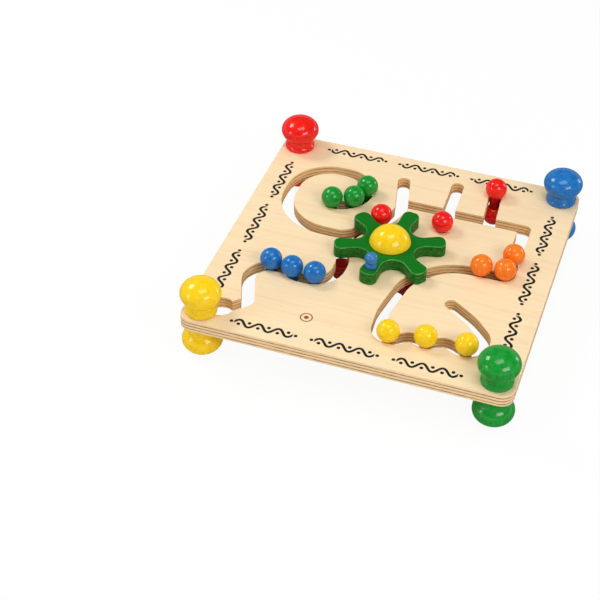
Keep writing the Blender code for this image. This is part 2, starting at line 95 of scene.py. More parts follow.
# Turned pieces, their angles in degrees
BEAD_RADIUS = 10.2 * MM
STEM_RADIUS = 3.5 * MM
STEM_BORE_DEPTH = 8 * MM
STEM_SHANK_RADIUS = 5.0 * MM
STEM_SHANK_ROUNDING = 0.5 * MM
STEM_SHOULDER_GAP = 0.2 * MM
GAP = 0.3 * MM
PEG_END_ROUNDING = 0.4 * MM
TENON_END_ROUNDING = 0.5 * MM
KNOB_RADIUS = 18.5 * MM
KNOB_HEAD_HALF_HEIGHT = 13 * MM
KNOB_HEIGHT = 33.2 * MM
KNOB_FLANGE_RADIUS = 14.3 * MM
KNOB_FLANGE_HEIGHT = 5.5 * MM
KNOB_FLANGE_ROUNDING = 1.6 * MM
KNOB_FOOT_ROUNDING = 0.8 * MM
KNOB_NECK_RADIUS = 13.2 * MM
KNOB_NECK_ROUNDING = 3.5 * MM
KNOB_HEAD_START = -37
FOOT_FLAT_RADIUS = 6 * MM
TENON_RADIUS = 4 * MM
TENON_DEPTH = 14 * MM
DOME_RADIUS = 19.3 * MM
DOME_HEIGHT = 16.2 * MM
DOME_BORE_DEPTH = 8 * MM
DOME_EDGE = 0.4 * MM
DOME_FOOT_ANGLE = 1.5
AXLE_RADIUS = 4 * MM
AXLE_HEAD_RADIUS = 8 * MM
AXLE_HEAD_HEIGHT = 5 * MM
AXLE_HEAD_ROUNDING = 3 * MM
AXLE_HEAD_TOP_ROUNDING = 0.4 * MM
CRANK_BALL_RADIUS = 6 * MM
CRANK_HEIGHT = 15 * MM
CRANK_FLANGE_RADIUS = 5.6 * MM
CRANK_FLANGE_HEIGHT = 3 * MM
CRANK_FLANGE_ROUNDING = 0.9 * MM
CRANK_FOOT_ROUNDING = 0.5 * MM
CRANK_WAIST_RADIUS = 4.5 * MM
CRANK_TENON_RADIUS = 3 * MM
CRANK_TENON_DEPTH = 8 * MM

# Wheels, their angles in degrees
WHEEL_RADIUS = 51.5 * MM
WHEEL_ARMS = 6
ARM_STEP = 360 / WHEEL_ARMS
FIRST_ARM = 20.8
ARM_TIP_WIDTH = 17.6 * MM
ARM_TIP_ROUNDING = 6.5 * MM
ARM_FLARE = 6.2
NOTCH_RADIUS = 11.9 * MM
WHEEL_EDGE_ROUNDING = 1.2 * MM
WHEEL_INNER_ROUNDING = 0.4 * MM
WHEEL_EDGE_STEPS = 4

# Gloss paint on turned wood. SHOW pairs: the level where a pattern starts, and where it is full.
PAINT_ROUGHNESS = 0.30
PAINT_SHINE = 0.05
PAINT_COAT = 0.17
PAINT_COAT_ROUGHNESS = 0.13
PAINT_COAT_IOR = 2.6
PAINT_DEEPENING = 1.5
PAINT_PALING = 0.015
PAINT_RELIEF = 0.02 * MM
PORE_SIZE = 1.1 * MM
PORES_SHOW = (0.46, 0.28)
CLOUD_SIZE = 5 * MM
PALE_CLOUDS_SHOW = (0.50, 0.70)
DEEP_CLOUDS_SHOW = (0.52, 0.32)
DEEP_CLOUD_SHARE = 0.5
STREAK_SIZE = 1.5 * MM
STREAKS_SHOW = (0.52, 0.36)
STREAK_SHARE = 0.5
UPRIGHT_SHOWS = (0.75, 0.30)
# A bead's pin is its paint darkened to this share as painted shade, for the slot it stands in.
PIN_PAINTED_SHADE = 0.5
PIN_ROUGHNESS = 0.6

# Satin paint on the sawn wheels
WHEEL_ROUGHNESS = 0.40
WHEEL_COAT = 0.10
WHEEL_COAT_ROUGHNESS = 0.16
WHEEL_COAT_IOR = 2.0
# The wheels' paint is darkened to this share on their sides as painted shade, and in the grain.
WHEEL_GRAIN_AND_SIDE_SHADE = 0.72
WHEEL_RELIEF = 0.05 * MM
WHEEL_GRAIN_SIZE = 1.2 * MM
WHEEL_GRAIN_SHOWS = (0.42, 0.28)
# A painted glint along the wheels' rounded edges, fuller in patches of this size, never below the
# least share.
WHEEL_GLINT_PATCH_SIZE = 9 * MM
WHEEL_GLINT_SHOWS = (0.42, 0.62)
WHEEL_GLINT_LEAST = 0.3
WHEEL_GLINT_SPREAD = 0.6
WHEEL_PATCH_SIZE = 3.5 * MM
WHEEL_PATCHES_SHOW = (0.40, 0.65)
# Where the painted shade of the sides gives way to the plain paint of the top and bottom.
WHEEL_SIDE_SHADE_SHOWS = (0.15, 0.55)
WHEEL_EDGE_FROM_SIDE = (0.40, 0.62)
WHEEL_EDGE_FROM_TOP = (0.97, 0.85)

# Bare wood, veneer and plies
WOOD_ROUGHNESS = 0.6
WOOD_SHADE = 0.6
WOOD_RELIEF = 0.05 * MM
WOOD_FLECK_SIZE = 0.7 * MM
WOOD_FLECKS_SHOW = (0.45, 0.30)
VENEER_STREAK_SIZE = 5 * MM
VENEER_STREAKS_SHOW = (0.42, 0.72)
VENEER_FLECK_SIZE = 0.9 * MM
VENEER_FLECKS_SHOW = (0.36, 0.24)
VENEER_CLOUD_SIZE = 45 * MM
VENEER_CLOUD_SHARE = 0.35
BOARD_ROUGHNESS = 0.45
BOARD_COAT = 0.15
BOARD_COAT_ROUGHNESS = 0.3
BOARD_RELIEF = 0.03 * MM
BOARD_LEVEL_SHOWS = (0.25, 0.80)
PLY_WOBBLE_SIZE = 22 * MM
PLY_GRAIN_SIZE = 3.2 * MM
PLY_GRAIN_SHOWS = (0.5, 0.75)
PLY_GRAIN_SHARE = 0.5
PLY_PATCH_SIZE = 14 * MM
PLY_PATCHES_SHOW = (0.36, 0.60)
PLY_SHADE = 0.72
ROUTED_ROUGHNESS = 0.7
ROUTED_RELIEF = 0.10 * MM

# Facets of the fine pieces, in degrees but for the number of sides
LATHE_SIDES = 72
ARC_STEP = 5
SHARP_ANGLE = 35
WHEEL_SHARP_ANGLE = 45

# Paints and timbers, in linear light
BIRCH = (0.950, 0.745, 0.465)
BIRCH_DARK = (0.915, 0.678, 0.405)
BIRCH_FLECK = (0.760, 0.500, 0.265)
PLY_LIGHT = (0.940, 0.690, 0.380)
PLY_TAN = (0.680, 0.350, 0.130)
PLY_DARK = (0.340, 0.115, 0.026)
ROUTED_LIGHT = (0.950, 0.650, 0.315)
ROUTED_TAN = (0.760, 0.460, 0.195)
ROUTED_DARK = (0.400, 0.190, 0.070)
INK = (0.003, 0.003, 0.004)
STAMP = (0.300, 0.080, 0.022)
BEECH = (0.700, 0.470, 0.260)
PAINTS = {
    "red": (0.880, 0.010, 0.005),
    "blue": (0.012, 0.175, 0.505),
    "yellow": (0.950, 0.640, 0.006),
    "green": (0.006, 0.310, 0.030),
    "orange": (0.930, 0.215, 0.008),
    "pale_blue": (0.035, 0.190, 0.470),
}
WHEEL_GREEN = (0.005, 0.165, 0.010)
WHEEL_GREEN_THIN = (0.032, 0.190, 0.018)
# Paler green for the painted glint along the green wheel's rounded edges.
WHEEL_GREEN_GLINT = (0.150, 0.440, 0.130)
WHEEL_RED = (0.420, 0.006, 0.004)
WHEEL_RED_THIN = (0.460, 0.030, 0.014)
# Paler red for the painted glint along the red wheel's rounded edges.
WHEEL_RED_GLINT = (0.560, 0.060, 0.030)
CORNERS = ("red", "blue", "yellow", "green")

# Studio: lamps as (right, up and back of the object as the camera sees it), width, height and watts
LAMP_DISTANCE = 1.5
SOFTBOXES = {
    "key_lamp": ((-0.58, 0.79, 0.20), 0.46, 0.40, 7),
    "top_lamp": ((0.05, 0.67, 0.74), 0.84, 0.50, 5.2),
    "front_lamp": ((0.45, 0.00, 0.89), 0.80, 0.50, 7.6),
    "side_lamp": ((-0.88, 0.10, 0.47), 0.36, 0.42, 2.4),
    "rim_lamp": ((0.85, 0.42, -0.20), 0.26, 0.40, 2.6),
}
SKY_STRENGTH = 0.42
CEILING_GLOSS = 0.12
CEILING_START = 0.05
CEILING_END = 0.40
FLOOR_REACH = 15
FLOOR_LIFT = 0.93
FLOOR_GLOSS = 0.28
FLOOR_WHITE = (0.9, 0.9, 0.9)
FLOOR_ROUGHNESS = 0.9
FLOOR_SHINE = 0.1


def polar(radius, degrees):
    angle = math.radians(degrees)
    return Vector((radius * math.cos(angle), radius * math.sin(angle)))


def cross(a, b):
    return a.x * b.y - a.y * b.x


def rounded(before, corner, after, radius):
    """The points that replace a corner of a flat outline once it is rounded."""
    if radius <= 0:
        return [corner]
    arriving, leaving = (corner - before).normalized(), (after - corner).normalized()
    turn = math.atan2(cross(arriving, leaving), arriving.dot(leaving))
    side = 1 if turn > 0 else -1
    start = corner - arriving * radius * math.tan(abs(turn) / 2)
    centre = start + Vector((-arriving.y, arriving.x)) * side * radius
    spoke = start - centre
    steps = max(2, math.ceil(abs(math.degrees(turn)) / ARC_STEP))
    points = []
    for i in range(steps + 1):
        angle = math.atan2(spoke.y, spoke.x) + turn * i / steps
        points.append(centre + radius * Vector((math.cos(angle), math.sin(angle))))
    return points


def rounded_path(corners):
    """An open path of points from corners given as (across, along, rounding)."""
    points = [Vector(corner[:2]) for corner in corners]
    path = [points[0]]
    for i in range(1, len(points) - 1):
        path.extend(rounded(points[i - 1], points[i], points[i + 1], corners[i][2]))
    return path + [points[-1]]


def arc(centre_height, across, along, start, end):
    """Points of (radius, height) on an upright ellipse, from one angle to another in degrees."""
    steps = max(2, math.ceil(abs(end - start) / ARC_STEP))
    points = []
    for i in range(steps + 1):
        angle = math.radians(start + (end - start) * i / steps)
        points.append(Vector((across * math.cos(angle), centre_height + along * math.sin(angle))))
    return points


def finished(name, form, body, material, nodes, sharp=SHARP_ANGLE):
    """Make a piece of a mesh, seat it on its body and let it stand for its CAD nodes."""
    bmesh.ops.remove_doubles(form, verts=form.verts, dist=SAME_POINT)
    bmesh.ops.recalc_face_normals(form, faces=form.faces)
    mesh = bpy.data.meshes.new(name)
    form.to_mesh(mesh)
    form.free()
    mesh.shade_smooth()
    mesh.set_sharp_from_angle(angle=math.radians(sharp))
    mesh.materials.append(material)
    piece = bpy.data.objects.new(name, mesh)
    bpy.context.scene.collection.objects.link(piece)
    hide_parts(*nodes)
    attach(piece, body)
    return piece


def turned(profile, centre):
    """A profile of (radius, height) points, from axis to axis, spun round an upright axis."""
    form = bmesh.new()
    points = [form.verts.new((radius, 0, height)) for radius, height in profile]
    edges = [form.edges.new(pair) for pair in zip(points, points[1:])]
    bmesh.ops.spin(
        form,
        geom=points + edges,
        cent=(0, 0, 0),
        axis=(0, 0, 1),
        angle=2 * math.pi,
        steps=LATHE_SIDES,
        use_merge=True,
    )
    bmesh.ops.translate(form, verts=form.verts, vec=centre)
    return form


def middle_of(node, height):
    """The middle of a node in plan, at a height."""
    low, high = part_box(node)
    return Vector(((low.x + high.x) / 2, (low.y + high.y) / 2, height))


def feed(tree, socket, value):
    """Give a socket a plain value or another node's output."""
    if isinstance(value, bpy.types.NodeSocket):
        tree.links.new(value, socket)
    else:
        socket.default_value = value


def calc(tree, operation, *values):
    made = tree.nodes.new("ShaderNodeMath")
    made.operation = operation
    for socket, value in zip(made.inputs, values):
        feed(tree, socket, value)
    return made.outputs[0]


def smooth_step(tree, value, low, high):
    """Zero below low, one above high, and a soft step between them."""
    made = tree.nodes.new("ShaderNodeMapRange")
    made.interpolation_type = "SMOOTHSTEP"
    feed(tree, made.inputs["Value"], value)
    made.inputs["From Min"].default_value = low
    made.inputs["From Max"].default_value = high
    return made.outputs["Result"]


def mixed(tree, factor, first, second):
    """One colour painted over another by a factor."""
    made = tree.nodes.new("ShaderNodeMix")
    made.data_type = "RGBA"
    feed(tree, made.inputs[0], factor)
    for socket, colour in ((made.inputs[6], first), (made.inputs[7], second)):
        feed(tree, socket, colour if isinstance(colour, bpy.types.NodeSocket) else (*colour, 1))
    return made.outputs[2]


def place(tree, stretch=(1, 1, 1)):
    """The place on the piece, in metres, stretched along the axes."""
    where = tree.nodes.new("ShaderNodeTexCoord").outputs["Object"]
    scale = tree.nodes.new("ShaderNodeVectorMath")
    scale.operation = "MULTIPLY"
    tree.links.new(where, scale.inputs[0])
    scale.inputs[1].default_value = stretch
    return scale.outputs[0]


def noise(tree, where, size, detail=3, roughness=0.5, distortion=0):
    """Cloudy noise from 0 to 1 whose lumps are about one size, in metres, apart."""
    made = tree.nodes.new("ShaderNodeTexNoise")
    tree.links.new(where, made.inputs["Vector"])
    made.inputs["Scale"].default_value = 1 / size
    made.inputs["Detail"].default_value = detail
    made.inputs["Roughness"].default_value = roughness
    made.inputs["Distortion"].default_value = distortion
    return made.outputs["Fac"]


def axes_of(tree, vector):
    split = tree.nodes.new("ShaderNodeSeparateXYZ")
    tree.links.new(vector, split.inputs[0])
    return split.outputs


def upwardness(tree):
    """One on level surfaces, facing up or down, and zero on upright ones."""
    normal = tree.nodes.new("ShaderNodeNewGeometry").outputs["Normal"]
    return calc(tree, "ABSOLUTE", axes_of(tree, normal)[2])


def bumped(tree, shader, height, depth):
    """Raise the surface by a height from 0 to 1, worth a depth in metres."""
    bump = tree.nodes.new("ShaderNodeBump")
    bump.inputs["Distance"].default_value = depth
    tree.links.new(height, bump.inputs["Height"])
    tree.links.new(bump.outputs["Normal"], shader.inputs["Normal"])


def new_material(name):
    material = bpy.data.materials.new(name)
    material.use_nodes = True
    tree = material.node_tree
    return material, tree, tree.nodes["Principled BSDF"]


def paint_material(name, colour, roughness=PAINT_ROUGHNESS, coat=PAINT_COAT):
    """Gloss paint on turned beech: the wood's pores and grain still show a little through it."""
    material, tree, shader = new_material(name)
    pores = noise(tree, place(tree, (1, 1, 0.25)), PORE_SIZE, detail=4, roughness=0.65)
    clouds = noise(tree, place(tree), CLOUD_SIZE, detail=4, roughness=0.65)
    streaks = noise(tree, place(tree, (1, 1, 0.08)), STREAK_SIZE, detail=3, roughness=0.6)
    deep = tuple(channel**PAINT_DEEPENING for channel in colour)
    pale = tuple(channel + (1 - channel) * PAINT_PALING for channel in colour)
    pored = mixed(tree, smooth_step(tree, pores, *PORES_SHOW), colour, deep)
    clouded = mixed(tree, smooth_step(tree, clouds, *PALE_CLOUDS_SHOW), pored, pale)
    dark_clouds = smooth_step(tree, clouds, *DEEP_CLOUDS_SHOW)
    dark_clouds = calc(tree, "MULTIPLY", dark_clouds, DEEP_CLOUD_SHARE)
    shaded = mixed(tree, dark_clouds, clouded, deep)
    upright = smooth_step(tree, upwardness(tree), *UPRIGHT_SHOWS)
    upright = calc(tree, "MULTIPLY", upright, STREAK_SHARE)
    along = calc(tree, "MULTIPLY", smooth_step(tree, streaks, *STREAKS_SHOW), upright)
    feed(tree, shader.inputs["Base Color"], mixed(tree, along, shaded, deep))
    shader.inputs["Roughness"].default_value = roughness
    shader.inputs["Specular IOR Level"].default_value = PAINT_SHINE
    shader.inputs["Coat Weight"].default_value = coat
    shader.inputs["Coat Roughness"].default_value = PAINT_COAT_ROUGHNESS
    shader.inputs["Coat IOR"].default_value = PAINT_COAT_IOR
    bumped(tree, shader, pores, PAINT_RELIEF)
    return material


def shaded_pin_material(name, colour):
    """The bead's paint on its pin, darkened as painted shade for the slot the pin stands in, dull and
    with no coat.
    """
    shaded_paint_colour = tuple(channel * PIN_PAINTED_SHADE for channel in colour)
    return paint_material(f"{name}_pin_painted_shade", shaded_paint_colour, roughness=PIN_ROUGHNESS, coat=0)


def wheel_material(name, colour, thin, glint):
    """Satin paint on a sawn wheel: darkened on its sides as painted shade and thin there in patches,
    with a painted glint along its rounded edges.
    """
    material, tree, shader = new_material(name)
    level = upwardness(tree)
    grain = noise(tree, place(tree, (0.2, 1, 1)), WHEEL_GRAIN_SIZE, detail=4, roughness=0.6)
    clouds = noise(tree, place(tree), WHEEL_GLINT_PATCH_SIZE, detail=3)
    patches = noise(tree, place(tree, (1, 1, 2)), WHEEL_PATCH_SIZE, detail=4, roughness=0.6)
    # On the sides the paint is darkened as painted shade, paler in patches where it is thin.
    deep = tuple(channel * WHEEL_GRAIN_AND_SIDE_SHADE for channel in colour)
    side_shade_and_patches = mixed(tree, smooth_step(tree, patches, *WHEEL_PATCHES_SHOW), deep, thin)
    sides = mixed(tree, smooth_step(tree, level, *WHEEL_SIDE_SHADE_SHOWS), side_shade_and_patches, colour)
    grained = mixed(tree, smooth_step(tree, grain, *WHEEL_GRAIN_SHOWS), sides, deep)
    # A painted glint along the rounded edges between the sides and the top, fuller in patches.
    off_side = smooth_step(tree, level, *WHEEL_EDGE_FROM_SIDE)
    off_top = smooth_step(tree, level, *WHEEL_EDGE_FROM_TOP)
    edge = calc(tree, "MULTIPLY", off_side, off_top)
    glint_strength = smooth_step(tree, clouds, *WHEEL_GLINT_SHOWS)
    glint_strength = calc(tree, "MULTIPLY_ADD", glint_strength, WHEEL_GLINT_SPREAD, WHEEL_GLINT_LEAST)
    edge_glint = calc(tree, "MULTIPLY", edge, glint_strength)
    feed(tree, shader.inputs["Base Color"], mixed(tree, edge_glint, grained, glint))
    shader.inputs["Roughness"].default_value = WHEEL_ROUGHNESS
    shader.inputs["Specular IOR Level"].default_value = PAINT_SHINE
    shader.inputs["Coat Weight"].default_value = WHEEL_COAT
    shader.inputs["Coat Roughness"].default_value = WHEEL_COAT_ROUGHNESS
    shader.inputs["Coat IOR"].default_value = WHEEL_COAT_IOR
    bumped(tree, shader, grain, WHEEL_RELIEF)
    return material


def bare_wood_material(name, colour):
    """Unpainted turned beech, with its short dark flecks."""
    material, tree, shader = new_material(name)
    flecks = noise(tree, place(tree, (1, 1, 0.15)), WOOD_FLECK_SIZE, detail=3, roughness=0.6)
    deep = tuple(channel * WOOD_SHADE for channel in colour)
    flecked = mixed(tree, smooth_step(tree, flecks, *WOOD_FLECKS_SHOW), colour, deep)
    feed(tree, shader.inputs["Base Color"], flecked)
    shader.inputs["Roughness"].default_value = WOOD_ROUGHNESS
    bumped(tree, shader, flecks, WOOD_RELIEF)
    return material


def birch_veneer(tree):
    """The birch of the board's faces: pale, with faint streaks and flecks along its grain."""
    along = place(tree, (0.05, 1, 1))
    streaks = noise(tree, along, VENEER_STREAK_SIZE, detail=4, roughness=0.55, distortion=0.4)
    flecks = noise(tree, place(tree, (0.12, 1, 1)), VENEER_FLECK_SIZE, detail=3, roughness=0.6)
    clouds = noise(tree, place(tree, (0.35, 1, 1)), VENEER_CLOUD_SIZE, detail=2)
    streaked = mixed(tree, smooth_step(tree, streaks, *VENEER_STREAKS_SHOW), BIRCH, BIRCH_DARK)
    flecked = mixed(tree, smooth_step(tree, flecks, *VENEER_FLECKS_SHOW), streaked, BIRCH_FLECK)
    clouded = calc(tree, "MULTIPLY", clouds, VENEER_CLOUD_SHARE)
    return mixed(tree, clouded, flecked, BIRCH_DARK), flecks


def plies(tree, light, tan, dark):
    """The edge of the plywood: light plies with thinner ones between them, here tan, there dark."""
    wobble = noise(tree, place(tree, (1, 1, 3)), PLY_WOBBLE_SIZE, detail=3)
    grain = noise(tree, place(tree, (1, 1, 9)), PLY_GRAIN_SIZE, detail=4, roughness=0.65)
    height = axes_of(tree, place(tree))[2]
    wavy = calc(tree, "MULTIPLY_ADD", wobble, PLY_WOBBLE, height)
    pitch = PLY_LIGHT_THICKNESS + PLY_DARK_THICKNESS
    start = BOARD_BOTTOM + PLY_WOBBLE / 2
    in_ply = calc(tree, "FLOORED_MODULO", calc(tree, "SUBTRACT", wavy, start), pitch)
    soft = PLY_SOFTNESS
    rising = smooth_step(tree, in_ply, PLY_LIGHT_THICKNESS - soft, PLY_LIGHT_THICKNESS + soft)
    falling = smooth_step(tree, in_ply, pitch - PLY_LAST_STEP, pitch - 2 * soft)
    darkness = calc(tree, "MULTIPLY", rising, falling)
    patches = noise(tree, place(tree, (1, 1, 4)), PLY_PATCH_SIZE, detail=4, roughness=0.6)
    between = mixed(tree, smooth_step(tree, patches, *PLY_PATCHES_SHOW), tan, dark)
    layered = mixed(tree, darkness, light, between)
    shade = tuple(channel * PLY_SHADE for channel in dark)
    grained = calc(tree, "MULTIPLY", smooth_step(tree, grain, *PLY_GRAIN_SHOWS), PLY_GRAIN_SHARE)
    return mixed(tree, grained, layered, shade), grain


def printed_border(tree):
    """Where the border's black print lies: three groups a side of a wave with dots in its bends."""
    x, y, _ = axes_of(tree, place(tree))
    along_x = calc(tree, "LESS_THAN", calc(tree, "ABSOLUTE", x), calc(tree, "ABSOLUTE", y))
    along_y = calc(tree, "SUBTRACT", 1, along_x)
    part_x = calc(tree, "MULTIPLY", x, along_x)
    part_y = calc(tree, "MULTIPLY", y, along_y)
    along = calc(tree, "ADD", part_x, part_y)
    edge = calc(tree, "MAXIMUM", calc(tree, "ABSOLUTE", x), calc(tree, "ABSOLUTE", y))
    group = calc(tree, "ROUND", calc(tree, "DIVIDE", along, PRINT_PITCH))
    group = calc(tree, "MINIMUM", calc(tree, "MAXIMUM", group, -1), 1)
    local = calc(tree, "SUBTRACT", along, calc(tree, "MULTIPLY", group, PRINT_PITCH))
    shift = PRINT_DISTANCE_ALONG - PRINT_DISTANCE_ACROSS
    distance = calc(tree, "MULTIPLY_ADD", along_x, shift, PRINT_DISTANCE_ACROSS)
    across = calc(tree, "SUBTRACT", edge, distance)

    turns = calc(tree, "MULTIPLY", local, 2 * math.pi / PRINT_WAVE)
    wave = calc(tree, "MULTIPLY", calc(tree, "SINE", turns), PRINT_HEIGHT)
    steepest = 2 * math.pi * PRINT_HEIGHT / PRINT_WAVE
    steepness = calc(tree, "MULTIPLY", calc(tree, "COSINE", turns), steepest)
    slant = calc(tree, "SQRT", calc(tree, "MULTIPLY_ADD", steepness, steepness, 1))
    above_line = calc(tree, "SUBTRACT", across, wave)
    off_line = calc(tree, "DIVIDE", calc(tree, "ABSOLUTE", above_line), slant)
    line = smooth_step(tree, off_line, PRINT_STROKE + PRINT_SOFTNESS, PRINT_STROKE)
    reach = calc(tree, "ABSOLUTE", local)
    line = calc(tree, "MULTIPLY", line, calc(tree, "LESS_THAN", reach, PRINT_LENGTH / 2))

    bend = calc(tree, "FLOOR", calc(tree, "DIVIDE", local, PRINT_WAVE / 2))
    side = calc(tree, "MULTIPLY_ADD", calc(tree, "FLOORED_MODULO", bend, 2), 2, -1)
    middle = calc(tree, "MULTIPLY", calc(tree, "ADD", bend, 0.5), PRINT_WAVE / 2)
    dot_along = calc(tree, "SUBTRACT", local, middle)
    dot_across = calc(tree, "SUBTRACT", across, calc(tree, "MULTIPLY", side, PRINT_DOT_DROP))
    off_dot = distance_from(tree, dot_along, dot_across)
    dots = smooth_step(tree, off_dot, PRINT_DOT + PRINT_SOFTNESS, PRINT_DOT)
    dots = calc(tree, "MULTIPLY", dots, calc(tree, "LESS_THAN", reach, PRINT_LENGTH / 2))

    past_end = calc(tree, "SUBTRACT", reach, PRINT_LENGTH / 2 + PRINT_END_GAP)
    off_end = distance_from(tree, past_end, across)
    ends = smooth_step(tree, off_end, PRINT_DOT + PRINT_SOFTNESS, PRINT_DOT)
    return calc(tree, "MAXIMUM", calc(tree, "MAXIMUM", line, dots), ends)


def distance_from(tree, along, across):
    """How far a place lies from a point, from its distances along two axes."""
    squared = calc(tree, "MULTIPLY", across, across)
    return calc(tree, "SQRT", calc(tree, "MULTIPLY_ADD", along, along, squared))


def stamped_ring(tree):
    """Where the small brown stamp lies: a ring round a dot."""
    x, y, _ = axes_of(tree, place(tree))
    along = calc(tree, "SUBTRACT", x, STAMP_CENTRE[0])
    across = calc(tree, "SUBTRACT", y, STAMP_CENTRE[1])
    away = distance_from(tree, along, across)
    off_ring = calc(tree, "ABSOLUTE", calc(tree, "SUBTRACT", away, STAMP_RADIUS))
    ring = smooth_step(tree, off_ring, STAMP_STROKE + PRINT_SOFTNESS, STAMP_STROKE)
    dot = smooth_step(tree, away, STAMP_DOT + PRINT_SOFTNESS, STAMP_DOT)
    return calc(tree, "MAXIMUM", ring, dot)


def board_material():
    """Sanded and lacquered birch plywood, printed on top, with its plies showing on the rim."""
    material, tree, shader = new_material("birch_board")
    veneer, flecks = birch_veneer(tree)
    rim, grain = plies(tree, PLY_LIGHT, PLY_TAN, PLY_DARK)
    level = smooth_step(tree, upwardness(tree), *BOARD_LEVEL_SHOWS)
    wood = mixed(tree, level, rim, veneer)
    normal = tree.nodes.new("ShaderNodeNewGeometry").outputs["Normal"]
    on_top = calc(tree, "GREATER_THAN", axes_of(tree, normal)[2], FACING_UP)
    inked = mixed(tree, calc(tree, "MULTIPLY", printed_border(tree), on_top), wood, INK)
    stamped = mixed(tree, calc(tree, "MULTIPLY", stamped_ring(tree), on_top), inked, STAMP)
    feed(tree, shader.inputs["Base Color"], stamped)
    shader.inputs["Roughness"].default_value = BOARD_ROUGHNESS
    shader.inputs["Coat Weight"].default_value = BOARD_COAT
    shader.inputs["Coat Roughness"].default_value = BOARD_COAT_ROUGHNESS
    relief = calc(tree, "ADD", flecks, calc(tree, "MULTIPLY", grain, PLY_GRAIN_SHARE))
    bumped(tree, shader, relief, BOARD_RELIEF)
    return material


def routed_material():
    """The walls that the router left in the slots: browner, with the plies still showing."""
    material, tree, shader = new_material("routed_walls")
    colour, grain = plies(tree, ROUTED_LIGHT, ROUTED_TAN, ROUTED_DARK)
    feed(tree, shader.inputs["Base Color"], colour)
    shader.inputs["Roughness"].default_value = ROUTED_ROUGHNESS
    bumped(tree, shader, grain, ROUTED_RELIEF)
    return material


def build_board(board, routed):
    """The board's panel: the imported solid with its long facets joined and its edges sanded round."""
    form = bmesh.new()
    form.from_mesh(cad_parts["maze_board"].data)
    bmesh.ops.remove_doubles(form, verts=form.verts, dist=SAME_POINT)
    bmesh.ops.triangulate(form, faces=form.faces)
    flat = math.radians(FLAT_ANGLE)
    bmesh.ops.dissolve_limit(form, angle_limit=flat, verts=form.verts, edges=form.edges)
    bmesh.ops.remove_doubles(form, verts=form.verts, dist=SHORTEST_EDGE)
    panel = finished("maze_board_panel", form, "base", board, ["maze_board"])
    panel.data.materials.append(routed)
    for face in panel.data.polygons:
        upright = abs(face.normal.z) < STANDING_UPRIGHT
        inside = max(abs(face.center.x), abs(face.center.y)) < BOARD_SIDE / 2 - RIM_BAND
        face.material_index = 1 if upright and inside else 0
    bevel = panel.modifiers.new("sanded_edges", "BEVEL")
    bevel.width = EDGE_ROUNDING
    bevel.segments = EDGE_STEPS
    bevel.limit_method = "ANGLE"
    bevel.angle_limit = math.radians(EDGE_ANGLE)
    bevel.use_clamp_overlap = False
    bevel.material = 0
    weighted = panel.modifiers.new("even_shading", "WEIGHTED_NORMAL")
    weighted.keep_sharp = False
    return panel


def knob_side(end_radius):
    """A knob's outside, from its flange to its head, as heights above what it stands on."""
    rounding, top = KNOB_FLANGE_ROUNDING, KNOB_FLANGE_HEIGHT
    centre = KNOB_HEIGHT - KNOB_HEAD_HALF_HEIGHT
    end = math.degrees(math.acos(end_radius / KNOB_RADIUS))
    head = arc(centre, KNOB_RADIUS, KNOB_HEAD_HALF_HEIGHT, KNOB_HEAD_START, end)
    rise = (head[1].y - head[0].y) / (head[1].x - head[0].x)
    neck_top = head[0].y - (head[0].x - KNOB_NECK_RADIUS) * rise
    side = rounded_path([
        (STEM_RADIUS, GAP, 0),
        (KNOB_FLANGE_RADIUS, GAP, KNOB_FOOT_ROUNDING),
        (KNOB_FLANGE_RADIUS, top - rounding, rounding),
        (KNOB_NECK_RADIUS, top, rounding),
        (KNOB_NECK_RADIUS, neck_top, KNOB_NECK_ROUNDING),
        (head[0].x, head[0].y, 0),
    ])
    return side[1:-1] + head


def build_knobs(paints):
    """Four knobs on the board and the four feet under them, each foot in one with its tenon."""
    bore = TENON_RADIUS + GAP
    for colour in CORNERS:
        profile = [(0, TENON_DEPTH), (bore, TENON_DEPTH), (bore, GAP)] + knob_side(0)
        profile[-1] = (0, KNOB_HEIGHT)
        node = f"knob_{colour}"
        knob = turned(profile, middle_of(node, BOARD_TOP))
        finished(node + "_turned", knob, "base", paints[colour], [node])

        side = [(radius, -height) for radius, height in knob_side(FOOT_FLAT_RADIUS)]
        side[-1] = (FOOT_FLAT_RADIUS, -KNOB_HEIGHT)
        tenon_top = BOARD_TOP - BOARD_BOTTOM + TENON_DEPTH - GAP
        tenon = rounded_path([
            (0, tenon_top, 0),
            (TENON_RADIUS, tenon_top, TENON_END_ROUNDING),
            (TENON_RADIUS, -GAP, 0),
        ])
        node = f"foot_{colour}"
        foot = turned(tenon + side + [(0, -KNOB_HEIGHT)], middle_of(node, BOARD_BOTTOM))
        finished(node + "_turned", foot, "base", paints[colour], [node])


def wheel_outline():
    """The wheel's outline: flared arms with round tips, and a round notch between each pair."""
    half_step = math.radians(ARM_STEP / 2)
    flare = math.radians(ARM_FLARE)
    inner_half_width = ARM_TIP_WIDTH / 2 - WHEEL_RADIUS * math.tan(flare)
    along = inner_half_width / (math.tan(half_step) - math.tan(flare))
    notch_corner = along / math.cos(half_step)
    tip_reach = math.hypot(WHEEL_RADIUS, ARM_TIP_WIDTH / 2)
    tip_spread = math.degrees(math.atan2(ARM_TIP_WIDTH / 2, WHEEL_RADIUS))
    corners = []
    for arm in range(WHEEL_ARMS):
        angle = FIRST_ARM + ARM_STEP * arm
        corners.append((polar(tip_reach, angle - tip_spread), ARM_TIP_ROUNDING))
        corners.append((polar(tip_reach, angle + tip_spread), ARM_TIP_ROUNDING))
        corners.append((polar(notch_corner, angle + ARM_STEP / 2), NOTCH_RADIUS))
    outline = []
    for i, (corner, radius) in enumerate(corners):
        after = corners[(i + 1) % len(corners)][0]
        outline.extend(rounded(corners[i - 1][0], corner, after, radius))
    return outline


def inset(outline, distance):
    """An outline that runs anticlockwise, moved inwards by a distance."""
    moved = []
    for i, point in enumerate(outline):
        heading = (outline[(i + 1) % len(outline)] - outline[i - 1]).normalized()
        moved.append(point + Vector((-heading.y, heading.x)) * distance)
    return moved


